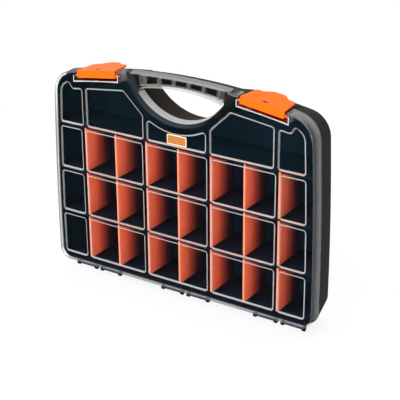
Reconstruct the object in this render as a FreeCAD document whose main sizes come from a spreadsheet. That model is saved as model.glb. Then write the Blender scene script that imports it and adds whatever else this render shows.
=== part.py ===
import FreeCAD, Part
import math
import os
from types import SimpleNamespace

import Sketcher
from FreeCAD import Placement, Rotation, Vector

# Carry-case organizer: a dark tray with rows of divided compartments, a clear hinged lid,
# two flap latches on the lid and loose dividers in the tray's grooves.
# It stands on its hinge side: X to the right, Y to the back, Z up, lid at the front.
# Depths are measured backwards from the lid's front face.

# Driving dimensions in millimetres, angles in degrees
SIZES = {
    "case_width": 381,
    "case_height": 293,
    "case_depth": 61,
    "case_bottom": 12,
    "arch_radius": 850,
    "side_radius": 3600,
    "bow_height": 56,
    "top_corner_radius": 32,
    "bottom_corner_radius": 18,
    "lid_depth": 17,
    "lid_wall": 2,
    "lid_round": 3,
    "panel_thickness": 2,
    "ridge_rise": 1.2,
    "ridge_width": 4.6,
    "ridge_slope": 60,
    "cell_radius": 4.5,
    "cell_margin": 10.5,
    "bottom_cell_margin": 13.3,
    "latch_margin": 22,
    "shoulder_place": 155,
    "shoulder_step": 6,
    "shoulder_height": 257,
    "shoulder_radius": 16,
    "slant_place": 76,
    "slant_height": 240,
    "top_ridge_place": 137.2,
    "arc_ridge_place": 45.2,
    "arc_cell_height": 237.5,
    "arc_cell_middle": 218.5,
    "arc_cell_radius": 78,
    "parting_gap": 0.3,
    "tray_wall": 2.2,
    "bottom_wall": 9.2,
    "tray_bevel": 4,
    "side_taper": 8.5,
    "bottom_taper": 3,
    "top_taper": 11.5,
    "slot_pitch": 46.8,
    "row_pitch": 61.4,
    "middle_wall_height": 145,
    "row_wall": 4,
    "wall_end_gap": 2,
    "lid_clearance": 0.7,
    "collar_gap": 0.6,
    "collar_thickness": 2,
    "collar_root": 3,
    "collar_height": 269,
    "groove_depth": 1.2,
    "divider_thickness": 2,
    "divider_clearance": 0.2,
    "divider_front_round": 2,
    "divider_back_round": 3,
    "handle_centre": 310,
    "hole_radius": 71,
    "hole_flare": 9.5,
    "hole_corner": 3.5,
    "grip_radius": 260,
    "grip_underside": 277.5,
    "scoop_radius": 75.5,
    "scoop_depth": 7,
    "scoop_slope": 10,
    "scoop_ledge": 0.5,
    "grip_slope_length": 9,
    "grip_slope_drop": 2.5,
    "grip_back_depth": 37,
    "grip_wall": 2.4,
    "grip_top_wall": 4.5,
    "grip_half_length": 58,
    "tray_channel_depth": 10,
    "rib_pitch": 21,
    "rib_thickness": 1.6,
    "latch_place": 118,
    "latch_width": 58,
    "latch_reach": 33,
    "latch_thickness": 2.2,
    "latch_rise": 0.4,
    "latch_front_drop": 9,
    "latch_corner": 5,
    "latch_front_corner": 1.5,
    "latch_taper": 3,
    "latch_front_gap": 0.3,
    "lip_width": 32,
    "lip_tip_width": 16,
    "lip_reach": 9,
    "lip_round": 10,
    "slot_length": 5,
    "slot_width": 2.6,
    "slot_round": 1.2,
    "slot_depth": 7,
    "notch_clearance": 3,
    "notch_depth": 12.6,
    "pivot_depth": 3.4,
    "pivot_drop": 6.6,
    "barrel_radius": 2.4,
    "pin_radius": 1.5,
    "pin_fit": 0.06,
    "pin_reach": 1.6,
    "hook_depth": 28.8,
    "hook_thickness": 2.2,
    "hook_drop": 6,
    "hook_width": 44,
    "catch_depth": 25.5,
    "catch_gap": 0.4,
    "catch_drop": 3.2,
    "seat_drop": 7.4,
    "seat_floor": 3,
    "seat_top": 1.5,
    "seat_length": 36,
    "lug_width": 4,
    "lug_height": 1,
    "lug_depth": 2.4,
    "hinge_height": 3.4,
    "ear_radius": 3.4,
    "ear_thickness": 3.2,
    "bar_radius": 1.7,
    "clip_radius": 3.2,
    "clip_fit": 0.1,
    "clip_mouth": 2.7,
    "clip_side_gap": 0.5,
    "hinge_length": 32.4,
    "hinge_pair": 38.8,
    "hinge_group": 137.5,
    "foot_place": 120,
    "foot_width": 40,
    "foot_depth": 42,
    "foot_length": 12,
    "overrun": 1,
}
ROWS = 3
SLOTS = 7
WIDE_CELLS = 3
RIBS = 6
HINGE_GROUPS = 3
HINGES_IN_GROUP = 2
# Part of the tray's bevel at which its slope changes
BEVEL_STEP_SHARE = 0.3
# Part of a hinge ear's or clip's radius that its straight root reaches
ROOT_SHARE = 0.9
# Part of the lid's edge round within which an edge counts as lying at a depth
NEAR_SHARE = 0.01


class Size:
    """A number together with the sheet formula that gives it."""

    def __init__(self, value, formula):
        self.value = float(value)
        self.formula = formula

    def _join(self, other, sign, value):
        return Size(value, f"({self.formula} {sign} {as_size(other).formula})")

    def __add__(self, other):
        return self._join(other, "+", self.value + as_size(other).value)

    def __sub__(self, other):
        return self._join(other, "-", self.value - as_size(other).value)

    def __mul__(self, other):
        return self._join(other, "*", self.value * as_size(other).value)

    def __truediv__(self, other):
        return self._join(other, "/", self.value / as_size(other).value)

    def __neg__(self):
        return Size(-self.value, f"(-{self.formula})")


def as_size(number):
    """Give a plain number the form of a size."""
    if isinstance(number, Size):
        return number
    return Size(number, repr(number))


def root(size):
    """Square root of a size."""
    return Size(math.sqrt(size.value), f"sqrt({size.formula})")


def arc_sine(share):
    """Angle in degrees whose sine is the given share."""
    return Size(math.degrees(math.asin(share.value)), f"asin({share.formula})")


def arc_tangent(share):
    """Angle in degrees whose tangent is the given share."""
    return Size(math.degrees(math.atan(share.value)), f"atan({share.formula})")


doc = FreeCAD.newDocument("organizer")
sheet = doc.addObject("Spreadsheet::Sheet", "sizes")
for line_number, (name, number) in enumerate(SIZES.items(), start=1):
    sheet.set(f"A{line_number}", name)
    sheet.set(f"B{line_number}", str(number))
    sheet.setAlias(f"B{line_number}", name)
doc.recompute()
s = SimpleNamespace(**{name: Size(sheet.get(name), f"sizes.{name}") for name in SIZES})

# Depths, heights and places that several pieces share
parting = s.lid_depth + s.parting_gap
tray_length = s.case_depth - parting
plate = s.ridge_rise + s.panel_thickness
floor_depth = s.case_depth - s.tray_wall
wall_front = plate + s.lid_clearance
half_ridge = s.ridge_width / 2
collar_inset = s.lid_wall + s.collar_gap
row_heights = [s.middle_wall_height + s.row_pitch * (1 - row) for row in range(ROWS + 1)]
notch_half = s.latch_width / 2 + s.notch_clearance
latch_tilt = arc_sine(s.latch_place / s.arch_radius)


def arch_height(place, drop):
    """Height of the case's arched top at a place across it, less a drop."""
    return s.case_height - s.arch_radius + root(s.arch_radius * s.arch_radius - place * place) - drop


def side_place(height, inset):
    """Half width of the bowed case at a height, less an inset."""
    rise = height - s.bow_height
    radius = s.side_radius - inset
    return s.case_width / 2 - s.side_radius + root(radius * radius - rise * rise)


latch_height = arch_height(s.latch_place, 0)


def bind(thing, path, size):
    """Drive a property of a document object from the sheet."""
    thing.setExpression(path, as_size(size).formula)


def plane_of(body, role):
    """Origin plane or axis of a body."""
    return next(feature for feature in body.Origin.OriginFeatures if feature.Role == role)


def new_sketch(body, name, role, offset=(0, 0, 0), axis=None, angle=0):
    """Sketch on an origin plane of its body, moved and turned within that plane's own axes."""
    sketch = body.newObject("Sketcher::SketchObject", name)
    sketch.AttachmentSupport = [(plane_of(body, role), "")]
    sketch.MapMode = "FlatFace"
    if axis is not None:
        sketch.AttachmentOffset = Placement(Vector(), Rotation(axis, as_size(angle).value))
        bind(sketch, "AttachmentOffset.Rotation.Angle", angle)
    for letter, distance in zip("xyz", offset):
        if distance != 0:
            bind(sketch, f"AttachmentOffset.Base.{letter}", distance)
    return sketch


def front_sketch(body, name, depth):
    """Sketch seen from the front, at a depth behind the lid's face."""
    return new_sketch(body, name, "XZ_Plane", (0, 0, s.case_depth / 2 - depth))


def latch_section(body, name):
    """Section through the left latch's place, square to the arched top there."""
    offset = (-s.case_depth / 2, latch_height, -s.latch_place)
    return new_sketch(body, name, "YZ_Plane", offset, Vector(1, 0, 0), -latch_tilt)


class Profile:
    """Closed outline in a sketch, with every size driven from the sheet."""

    def __init__(self, sketch):
        self.sketch = sketch
        self.links = []
        self.rules = []
        self.driven = []

    def rule(self, kind, *where, size=None):
        """Add one constraint, with the size that drives it if it has one."""
        values = where if size is None else (*where, as_size(size).value)
        if size is not None:
            self.driven.append((len(self.rules), as_size(size)))
        self.rules.append(Sketcher.Constraint(kind, *values))

    def _segment(self, start, end):
        ends = [Vector(*start, 0), Vector(*end, 0)]
        return self.sketch.addGeometry(Part.LineSegment(*ends), False)

    def place(self, index, position, across, up):
        """Fix a point at its place in the sketch."""
        if as_size(across).value == 0:
            self.rule("PointOnObject", index, position, -2)
        else:
            self.rule("DistanceX", -1, 1, index, position, size=across)
        if as_size(up).value == 0:
            self.rule("PointOnObject", index, position, -1)
        else:
            self.rule("DistanceY", -1, 1, index, position, size=up)

    def flat(self, start, end, height):
        """Level line at a height."""
        index = self._segment(start, end)
        self.rule("Horizontal", index)
        self.rule("DistanceY", -1, 1, index, 1, size=height)
        self.links.append((index, 1, 2, False))

    def upright(self, start, end, across):
        """Upright line at a place."""
        index = self._segment(start, end)
        self.rule("Vertical", index)
        self.rule("DistanceX", -1, 1, index, 1, size=across)
        self.links.append((index, 1, 2, False))

    def through(self, start, end, marks):
        """Line that runs through two marked points."""
        index = self._segment(start, end)
        for mark in marks:
            self.rule("PointOnObject", mark, 1, index)
        self.links.append((index, 1, 2, False))

    def mark(self, across, up):
        """Construction point at a corner."""
        index = self.sketch.addGeometry(Part.Point(Vector(across.value, up.value, 0)), True)
        self.place(index, 1, across, up)
        return index

    def _arc(self, centre, radius, start, end, clockwise):
        middle = Vector(*centre, 0)
        first, last = (end, start) if clockwise else (start, end)
        angles = [math.atan2(point[1] - centre[1], point[0] - centre[0]) for point in (first, last)]
        if angles[1] <= angles[0]:
            angles[1] += 2 * math.pi
        circle = Part.Circle(middle, Vector(0, 0, 1), radius.value)
        index = self.sketch.addGeometry(Part.ArcOfCircle(circle, *angles), False)
        self.rule("Radius", index, size=radius)
        return index

    def arc(self, centre, radius, start, end, clockwise=False):
        """Arc about a fixed centre."""
        middle = tuple(as_size(part).value for part in centre)
        index = self._arc(middle, radius, start, end, clockwise)
        self.place(index, 3, *centre)
        self.links.append((index, 2, 1, False) if clockwise else (index, 1, 2, False))

    def corner(self, radius, centre, start, end, clockwise=False):
        """Round corner that runs smoothly into both neighbours."""
        index = self._arc(centre, radius, start, end, clockwise)
        self.links.append((index, 2, 1, True) if clockwise else (index, 1, 2, True))

    def close(self):
        """Join every end to the next, and drive the sizes."""
        for here, there in zip(self.links, self.links[1:] + self.links[:1]):
            kind = "Tangent" if here[3] or there[3] else "Coincident"
            self.rule(kind, here[0], here[2], there[0], there[1])
        first = self.sketch.ConstraintCount
        self.sketch.addConstraint(self.rules)
        for number, size in self.driven:
            bind(self.sketch, f"Constraints[{first + number}]", size)


def circle_meeting(first, first_radius, second, second_radius, near):
    """Point where two circles meet, the one nearer to a given place."""
    across, up = second[0] - first[0], second[1] - first[1]
    span = math.hypot(across, up)
    along = (span ** 2 + first_radius ** 2 - second_radius ** 2) / (2 * span)
    aside = math.sqrt(first_radius ** 2 - along ** 2)
    points = []
    for sign in (1, -1):
        x = first[0] + (along * across - sign * aside * up) / span
        y = first[1] + (along * up + sign * aside * across) / span
        points.append((x, y))
    return min(points, key=lambda point: math.dist(point, near))


def beyond(centre, point, radius):
    """Point of a circle on the line from its centre through another point."""
    scale = radius / math.dist(centre, point)
    return tuple(middle + scale * (part - middle) for middle, part in zip(centre, point))


def mirrored(point):
    """The same point on the other half of the case."""
    return (-point[0], point[1])


def circle_in(sketch, centre, radius):
    """Full circle in a sketch."""
    middle = Vector(as_size(centre[0]).value, as_size(centre[1]).value, 0)
    profile = Profile(sketch)
    index = sketch.addGeometry(Part.Circle(middle, Vector(0, 0, 1), radius.value), False)
    profile.rule("Radius", index, size=radius)
    profile.place(index, 3, *centre)
    profile.close()


def case_outline(inset=0, side=0, bottom=0, top=0):
    """Sizes of the case's outline, inset all round and moved in at each side."""
    return SimpleNamespace(
        half_width=s.case_width / 2 - inset - side,
        bottom=s.case_bottom + inset + bottom,
        top=s.case_height - inset - top,
        arch=s.arch_radius - inset,
        bow=s.side_radius - inset,
        top_corner=s.top_corner_radius - inset,
        bottom_corner=s.bottom_corner_radius - inset,
    )


def bow_centres(sizes):
    """Centres of the right and left bowed sides."""
    across = sizes.half_width - sizes.bow
    return (across, s.bow_height), (-across, s.bow_height)


def bow_point(sizes, height):
    """Point of the right bowed side at a height."""
    middle = bow_centres(sizes)[0]
    reach = math.sqrt(sizes.bow.value ** 2 - (height.value - middle[1].value) ** 2)
    return (middle[0].value + reach, height.value)


def lower_corner(sizes):
    """Centre of the lower right corner, where it starts below and where it ends at the side."""
    middle = tuple(part.value for part in bow_centres(sizes)[0])
    radius = sizes.bottom_corner.value
    height = sizes.bottom.value + radius
    reach = math.sqrt((sizes.bow.value - radius) ** 2 - (height - middle[1]) ** 2)
    centre = (middle[0] + reach, height)
    return centre, (centre[0], sizes.bottom.value), beyond(middle, centre, sizes.bow.value)


def draw_case(sketch, sizes, floor=None, ceiling=None, handle=None):
    """Draw the case's outline, or the stretch of it between a floor and a ceiling.

    With a handle radius the top runs round the handle's opening instead of over it.
    """
    profile = Profile(sketch)
    bow_centre, left_centre = bow_centres(sizes)
    arch_centre = (0, sizes.top - sizes.arch)
    bow = tuple(part.value for part in bow_centre)
    arch = (0, arch_centre[1].value)
    low = None
    if floor is None:
        low, foot, start = lower_corner(sizes)
        profile.flat(mirrored(foot), foot, sizes.bottom)
        profile.corner(sizes.bottom_corner, low, foot, start)
    else:
        start = bow_point(sizes, floor)
        profile.flat(mirrored(start), start, floor)
    if ceiling is None:
        radius = sizes.top_corner.value
        corner_place = (sizes.half_width.value, sizes.top.value)
        high = circle_meeting(bow, sizes.bow.value - radius, arch, sizes.arch.value - radius, corner_place)
        end = beyond(bow, high, sizes.bow.value)
        shoulder = beyond(arch, high, sizes.arch.value)
        profile.arc(bow_centre, sizes.bow, start, end)
        profile.corner(sizes.top_corner, high, end, shoulder)
        if handle is None:
            profile.arc(arch_centre, sizes.arch, shoulder, mirrored(shoulder))
        else:
            middle = (0, s.handle_centre.value)
            beside = (handle.value, sizes.top.value)
            rim = circle_meeting(middle, handle.value, arch, sizes.arch.value, beside)
            profile.arc(arch_centre, sizes.arch, shoulder, rim)
            profile.arc((0, s.handle_centre), handle, rim, mirrored(rim), clockwise=True)
            profile.arc(arch_centre, sizes.arch, mirrored(rim), mirrored(shoulder))
        profile.corner(sizes.top_corner, mirrored(high), mirrored(shoulder), mirrored(end))
    else:
        end = bow_point(sizes, ceiling)
        profile.arc(bow_centre, sizes.bow, start, end)
        profile.flat(end, mirrored(end), ceiling)
    profile.arc(left_centre, sizes.bow, mirrored(end), mirrored(start))
    if low is not None:
        profile.corner(sizes.bottom_corner, mirrored(low), mirrored(start), mirrored(foot))
    profile.close()


def draw_ring(sketch, outer, inner):
    """Draw a strip all round the case, between two of its outlines."""
    for sizes in (outer, inner):
        draw_case(sketch, sizes)


def draw_lens(sketch, lower_radius):
    """Draw the handle's opening: a deep arc below, the grip's shallow arc above, round ends."""
    profile = Profile(sketch)
    lower = (0, s.handle_centre.value)
    upper_centre = (0, s.grip_underside - s.grip_radius)
    upper = (0, upper_centre[1].value)
    radius = s.hole_corner.value
    inner = (lower_radius.value - radius, s.grip_radius.value - radius)
    tip = circle_meeting(lower, inner[0], upper, inner[1], (lower_radius.value, lower[1]))
    low = beyond(lower, tip, lower_radius.value)
    high = beyond(upper, tip, s.grip_radius.value)
    profile.arc((0, s.handle_centre), lower_radius, mirrored(low), low)
    profile.corner(s.hole_corner, tip, low, high)
    profile.arc(upper_centre, s.grip_radius, high, mirrored(high))
    profile.corner(s.hole_corner, mirrored(tip), mirrored(high), mirrored(low))
    profile.close()


def draw_channel(sketch, end_place):
    """Draw the hollow of the grip, between its underside and its arched top."""
    profile = Profile(sketch)
    lower_radius = s.grip_radius + s.grip_wall
    lower_centre = (0, s.grip_underside - s.grip_radius)
    upper_radius = s.arch_radius - s.grip_top_wall
    upper_centre = (0, s.case_height - s.arch_radius)
    x = end_place.value
    low = (x, lower_centre[1].value + math.sqrt(lower_radius.value ** 2 - x ** 2))
    high = (x, upper_centre[1].value + math.sqrt(upper_radius.value ** 2 - x ** 2))
    profile.arc(lower_centre, lower_radius, mirrored(low), low, clockwise=True)
    profile.upright(low, high, end_place)
    profile.arc(upper_centre, upper_radius, high, mirrored(high))
    profile.upright(mirrored(high), mirrored(low), -end_place)
    profile.close()


def draw_polygon(sketch, corners):
    """Draw a polygon of (across, up, radius) corners, each rounded by its radius."""
    profile = Profile(sketch)
    points = [(corner[0].value, corner[1].value) for corner in corners]
    marks = [profile.mark(corner[0], corner[1]) for corner in corners]
    rounds = []
    for number, here in enumerate(points):
        before, after = points[number - 1], points[(number + 1) % len(points)]
        ways = [[(part - mid) / math.dist(point, here) for part, mid in zip(point, here)]
                for point in (before, after)]
        turn = ways[0][1] * ways[1][0] - ways[0][0] * ways[1][1]
        half = math.acos(max(-1, min(1, ways[0][0] * ways[1][0] + ways[0][1] * ways[1][1]))) / 2
        radius = corners[number][2].value
        leg = radius / math.tan(half)
        start, end = (tuple(mid + leg * part for mid, part in zip(here, way)) for way in ways)
        share = radius / math.sin(half) / math.hypot(*(a + b for a, b in zip(*ways)))
        centre = tuple(mid + share * (a + b) for mid, a, b in zip(here, *ways))
        rounds.append((centre, start, end, turn < 0))
    for number, corner in enumerate(corners):
        centre, start, end, clockwise = rounds[number]
        following = (number + 1) % len(corners)
        profile.corner(corner[2], centre, start, end, clockwise)
        profile.through(end, rounds[following][1], (marks[number], marks[following]))
    profile.close()


def draw_rectangle(sketch, left, right, low, high):
    """Draw a plain rectangle."""
    profile = Profile(sketch)
    a, b, c, d = (as_size(part).value for part in (left, right, low, high))
    profile.flat((a, c), (b, c), low)
    profile.upright((b, c), (b, d), right)
    profile.flat((b, d), (a, d), high)
    profile.upright((a, d), (a, c), left)
    profile.close()


def extrude(body, kind, sketch, length, backwards=True, both=False, slope=None):
    """Pad or pocket from a sketch, and check that it changed the solid."""
    before = body.Shape.Volume if body.Tip is not None else 0
    feature = body.newObject(f"PartDesign::{kind}", f"{sketch.Name}_{kind.lower()}")
    feature.Profile = sketch
    bind(feature, "Length", length)
    # A pad grows and a pocket cuts in opposite directions from its sketch
    feature.Reversed = backwards == (kind == "Pad")
    feature.SideType = "Symmetric" if both else "One side"
    if slope is not None:
        bind(feature, "TaperAngle", slope)
    doc.recompute()
    grown = feature.Shape.Volume - before
    if (grown > 0) != (kind == "Pad"):
        raise RuntimeError(f"{feature.Name} does not change the solid")
    return feature


def loft(body, kind, name, sketches):
    """Straight loft through sketches."""
    feature = body.newObject(f"PartDesign::{kind}", name)
    feature.Profile = sketches[0]
    feature.Sections = sketches[1:]
    feature.Ruled = True
    doc.recompute()
    return feature


def round_edges(body, name, depth, radius):
    """Fillet every edge of the last feature that lies at a depth."""
    base = body.Tip
    edges = enumerate(base.Shape.Edges, start=1)
    names = [f"Edge{number}" for number, edge in edges if at_depth(edge, depth)]
    feature = body.newObject("PartDesign::Fillet", name)
    feature.Base = (base, names)
    bind(feature, "Radius", radius)
    doc.recompute()


def at_depth(edge, depth):
    """Whether an edge lies wholly at a depth."""
    box = edge.BoundBox
    place = (depth - s.case_depth / 2).value
    return max(abs(box.YMin - place), abs(box.YMax - place)) < s.lid_round.value * NEAR_SHARE


def mirror(body, name, features):
    """Repeat features on the other half of the case."""
    feature = body.newObject("PartDesign::Mirrored", name)
    feature.Originals = features
    feature.MirrorPlane = (plane_of(body, "YZ_Plane"), [""])
    body.Tip = feature
    doc.recompute()
    return feature


def row_pattern(body, name, step, count, role="X_Axis", reverse=False):
    """Linear pattern at a constant step, for use alone or in a combined one."""
    feature = body.newObject("PartDesign::LinearPattern", name)
    feature.Direction = (plane_of(body, role), [""])
    feature.Reversed = reverse
    feature.Mode = "Spacing"
    bind(feature, "Offset", step)
    feature.Occurrences = count
    return feature


def repeat(body, name, features, step, count):
    """Repeat features along the case."""
    feature = row_pattern(body, name, step, count)
    feature.Originals = features
    body.Tip = feature
    doc.recompute()
    return feature


def repeat_both(body, name, features, patterns):
    """Repeat features by two patterns together."""
    feature = body.newObject("PartDesign::MultiTransform", name)
    feature.Originals = features
    feature.Transformations = [
        row_pattern(body, f"{name}_{number}", *pattern) for number, pattern in enumerate(patterns)
    ]
    body.Tip = feature
    doc.recompute()
    return feature


def new_body(name):
    """Empty body whose label names its file."""
    body = doc.addObject("PartDesign::Body", name)
    body.Label = name
    return body


def hinge_patterns():
    """The hinge's pairs and groups along the case."""
    return [(s.hinge_pair, HINGES_IN_GROUP), (s.hinge_group, HINGE_GROUPS)]


first_hinge = -(s.hinge_group + s.hinge_pair / 2)
hinge_line = s.lid_depth - s.case_depth / 2


def draw_hinge_part(sketch, radius, start_depth, end_depth, top):
    """Draw an ear or a clip: a round end about the hinge line with a straight root above it."""
    profile = Profile(sketch)
    centre = (hinge_line, s.hinge_height)
    middle = (centre[0].value, centre[1].value)
    near, far = start_depth.value, end_depth.value
    left = (near, middle[1] + math.sqrt(max(0, radius.value ** 2 - (near - middle[0]) ** 2)))
    right = (far, middle[1] + math.sqrt(max(0, radius.value ** 2 - (far - middle[0]) ** 2)))
    profile.upright((near, top.value), left, start_depth)
    profile.arc(centre, radius, left, right)
    profile.upright(right, (far, top.value), end_depth)
    profile.flat((far, top.value), (near, top.value), top)
    profile.close()


def round_lid(body):
    """Lid's block: the case outline with a rounded front edge, hollowed from the back."""
    outline = front_sketch(body, "lid_outline", 0)
    draw_case(outline, case_outline())
    extrude(body, "Pad", outline, s.lid_depth)
    round_edges(body, "lid_front_round", as_size(0), s.lid_round)
    inside = front_sketch(body, "lid_inside", s.lid_depth)
    draw_case(inside, case_outline(s.lid_wall), handle=s.scoop_radius + s.lid_wall)
    extrude(body, "Pocket", inside, s.lid_depth - plate, backwards=False)


def cut_lid_grip(body):
    """Grip: a hollow bar with upright ribs, set back in a round scoop and sloped on top."""
    channel = front_sketch(body, "lid_channel", s.lid_depth)
    draw_channel(channel, s.grip_half_length)
    channel_depth = s.lid_depth - s.scoop_depth - s.grip_wall
    extrude(body, "Pocket", channel, channel_depth, backwards=False)
    rib = front_sketch(body, "lid_rib", s.lid_depth)
    first_rib = -s.rib_pitch * (RIBS - 1) / 2
    rib_half = s.rib_thickness / 2
    sag = s.grip_radius - root(s.grip_radius * s.grip_radius - first_rib * first_rib)
    rib_low = s.grip_underside - sag + s.grip_wall / 2
    rib_high = s.case_height - s.grip_top_wall
    draw_rectangle(rib, first_rib - rib_half, first_rib + rib_half, rib_low, rib_high)
    ribs = extrude(body, "Pad", rib, channel_depth + s.overrun, backwards=False)
    repeat(body, "lid_ribs", [ribs], s.rib_pitch, RIBS)
    scoop = front_sketch(body, "lid_scoop", 0)
    circle_in(scoop, (0, s.handle_centre), s.scoop_radius)
    extrude(body, "Pocket", scoop, s.scoop_depth, slope=-s.scoop_slope)
    front_lens = front_sketch(body, "lid_hole_front", s.scoop_depth - s.overrun)
    draw_lens(front_lens, (s.scoop_radius + s.hole_radius) / 2)
    back_lens = front_sketch(body, "lid_hole_back", s.lid_depth)
    draw_lens(back_lens, s.hole_radius)
    loft(body, "SubtractiveLoft", "lid_hole", [front_lens, back_lens])
    turn_slope(body)


def turn_slope(body):
    """Slope along the grip's front top edge, turned about the centre of the case's arch."""
    offset = (-s.case_depth / 2, s.case_height - s.arch_radius, 0)
    section = new_sketch(body, "lid_slope", "YZ_Plane", offset)
    steepness = s.grip_slope_drop / s.grip_slope_length
    front = s.scoop_depth - s.overrun
    back = s.scoop_depth + s.grip_slope_length
    low = s.arch_radius - s.grip_slope_drop - s.overrun * steepness
    high = s.arch_radius + s.overrun
    end = back + s.overrun / steepness
    profile = Profile(section)
    points = [(front.value, low.value), (end.value, high.value), (front.value, high.value)]
    marks = [profile.mark(front, low), profile.mark(end, high)]
    profile.through(points[0], points[1], marks)
    profile.flat(points[1], points[2], high)
    profile.upright(points[2], points[0], front)
    profile.close()
    feature = body.newObject("PartDesign::Groove", "lid_grip_slope")
    feature.Profile = section
    feature.ReferenceAxis = (section, ["H_Axis"])
    feature.Midplane = True
    bind(feature, "Angle", arc_sine(s.hole_radius / s.arch_radius) * 2)
    doc.recompute()


def cut_cells(body):
    """Shallow rounded panels in the lid's face, which leave ridges along the tray's walls."""
    outer_wall = s.slot_pitch * WIDE_CELLS
    outer_edge = outer_wall + half_ridge
    radius = s.cell_radius
    for row in range(ROWS):
        high = row_heights[row] - half_ridge
        low = row_heights[row + 1] + half_ridge
        if row == ROWS - 1:
            low = s.case_bottom + s.bottom_cell_margin
        left = half_ridge - outer_wall
        right = left + s.slot_pitch * 2 - s.ridge_width
        wide = [(left, low, radius), (right, low, radius), (right, high, radius), (left, high, radius)]
        pocket = cut_cell(body, f"wide_cell_{row}", wide)
        repeat(body, f"wide_cells_{row}", [pocket], s.slot_pitch * 2, WIDE_CELLS)
        low_left = -side_place(low, s.cell_margin)
        high_left = -side_place(high, s.cell_margin)
        narrow = [(low_left, low, radius), (-outer_edge, low, radius),
                  (-outer_edge, high, radius), (high_left, high, radius)]
        mirror(body, f"narrow_cells_{row}", [cut_cell(body, f"narrow_cell_{row}", narrow)])
    cut_top_cells(body, row_heights[0] + half_ridge)


def cut_top_cells(body, low):
    """Panels of the top row, which run round the latches and the handle's scoop."""
    radius = s.cell_radius
    left = -(s.top_ridge_place + half_ridge)
    peak = s.shoulder_place + s.shoulder_step
    end_cell = [
        (left, low, radius),
        (left, arch_height(left, s.latch_margin), radius),
        (-s.shoulder_place, arch_height(s.shoulder_place, s.latch_margin), radius),
        (-peak, arch_height(peak, s.cell_margin), radius),
        (-side_place(s.shoulder_height, s.cell_margin), s.shoulder_height, s.shoulder_radius),
        (-side_place(low, s.cell_margin), low, radius),
    ]
    inner = half_ridge - s.top_ridge_place
    centre_wall = -(s.arc_ridge_place + half_ridge)
    latch_cell = [
        (inner, low, radius),
        (centre_wall, low, radius),
        (centre_wall, s.slant_height, radius),
        (-s.slant_place, arch_height(s.slant_place, s.latch_margin), radius),
        (inner, arch_height(inner, s.latch_margin), radius),
    ]
    side = s.arc_ridge_place - half_ridge
    arc_cell = [
        (-side, low, radius),
        (side, low, radius),
        (side, s.arc_cell_height, radius),
        (as_size(0), s.arc_cell_middle, s.arc_cell_radius),
        (-side, s.arc_cell_height, radius),
    ]
    cut_cell(body, "arc_cell", arc_cell)
    pockets = [cut_cell(body, "end_cell", end_cell), cut_cell(body, "latch_cell", latch_cell)]
    mirror(body, "top_cells", pockets)


def cut_cell(body, name, corners):
    """One panel with sloping sides."""
    sketch = front_sketch(body, name, 0)
    draw_polygon(sketch, corners)
    return extrude(body, "Pocket", sketch, s.ridge_rise, slope=-s.ridge_slope)


def cut_latch_notches(body):
    """Notches in the lid's top for the latches, with cheeks that take the pivot pins."""
    section = latch_section(body, "notch_block")
    draw_rectangle(section, s.lid_round / 2, s.lid_depth, -(s.notch_depth + s.lid_wall), -s.lid_wall / 2)
    cheeks = (notch_half + s.lid_wall) * 2
    block = extrude(body, "Pad", section, cheeks, both=True)
    section = latch_section(body, "notch")
    draw_rectangle(section, -s.overrun, s.lid_depth + s.overrun, -s.notch_depth, s.overrun)
    notch = extrude(body, "Pocket", section, notch_half * 2, both=True)
    section = latch_section(body, "notch_lug")
    draw_rectangle(section, 0, s.lug_depth, -(s.notch_depth + s.overrun), s.lug_height - s.notch_depth)
    lug = extrude(body, "Pad", section, s.lug_width, both=True)
    section = latch_section(body, "pivot_hole")
    circle_in(section, (s.pivot_depth, -s.pivot_drop), s.pin_radius + s.pin_fit)
    hole = extrude(body, "Pocket", section, cheeks + s.overrun, both=True)
    mirror(body, "notches", [block, notch, lug, hole])


def add_hinge_clips(body):
    """Open clips under the lid that snap on to the tray's hinge bars."""
    clip_length = s.hinge_length - s.ear_thickness * 2 - s.clip_side_gap * 2
    sketch = new_sketch(body, "clip_outline", "YZ_Plane", (0, 0, first_hinge))
    front = hinge_line - s.clip_radius * ROOT_SHARE
    back = hinge_line - s.parting_gap
    draw_hinge_part(sketch, s.clip_radius, front, back, s.case_bottom + s.lid_wall / 2)
    clip = extrude(body, "Pad", sketch, clip_length, both=True)
    sketch = new_sketch(body, "clip_bore", "YZ_Plane", (0, 0, first_hinge))
    circle_in(sketch, (hinge_line, s.hinge_height), s.bar_radius + s.clip_fit)
    bore = extrude(body, "Pocket", sketch, clip_length + s.overrun, both=True)
    sketch = new_sketch(body, "clip_mouth", "YZ_Plane", (0, 0, first_hinge))
    draw_rectangle(sketch, hinge_line - s.clip_mouth / 2, hinge_line + s.clip_mouth / 2,
                   s.hinge_height - s.clip_radius - s.overrun, s.hinge_height)
    mouth = extrude(body, "Pocket", sketch, clip_length + s.overrun, both=True)
    repeat_both(body, "clips", [clip, bore, mouth], hinge_patterns())


def build_lid():
    """Clear lid: ridged face, handle scoop with ribbed grip, latch notches and hinge clips."""
    body = new_body("lid")
    round_lid(body)
    add_hinge_clips(body)
    cut_latch_notches(body)
    cut_lid_grip(body)
    cut_cells(body)
    return body


def tray_tapers():
    """How far each side of the tray is drawn in at the back."""
    return {"side": s.side_taper, "bottom": s.bottom_taper, "top": s.top_taper}


def shape_tray(body):
    """Tray's block, drawn in and bevelled towards the back."""
    tapers = tray_tapers()
    step = s.tray_bevel * BEVEL_STEP_SHARE
    sections = [
        (parting, case_outline()),
        (s.case_depth - s.tray_bevel, case_outline(**tapers)),
        (s.case_depth - step, case_outline(step, **tapers)),
        (s.case_depth, case_outline(s.tray_bevel, **tapers)),
    ]
    sketches = []
    for number, (depth, outline) in enumerate(sections):
        sketches.append(front_sketch(body, f"tray_section_{number}", depth))
        draw_case(sketches[-1], outline)
    loft(body, "AdditiveLoft", "tray_block", sketches)


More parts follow.
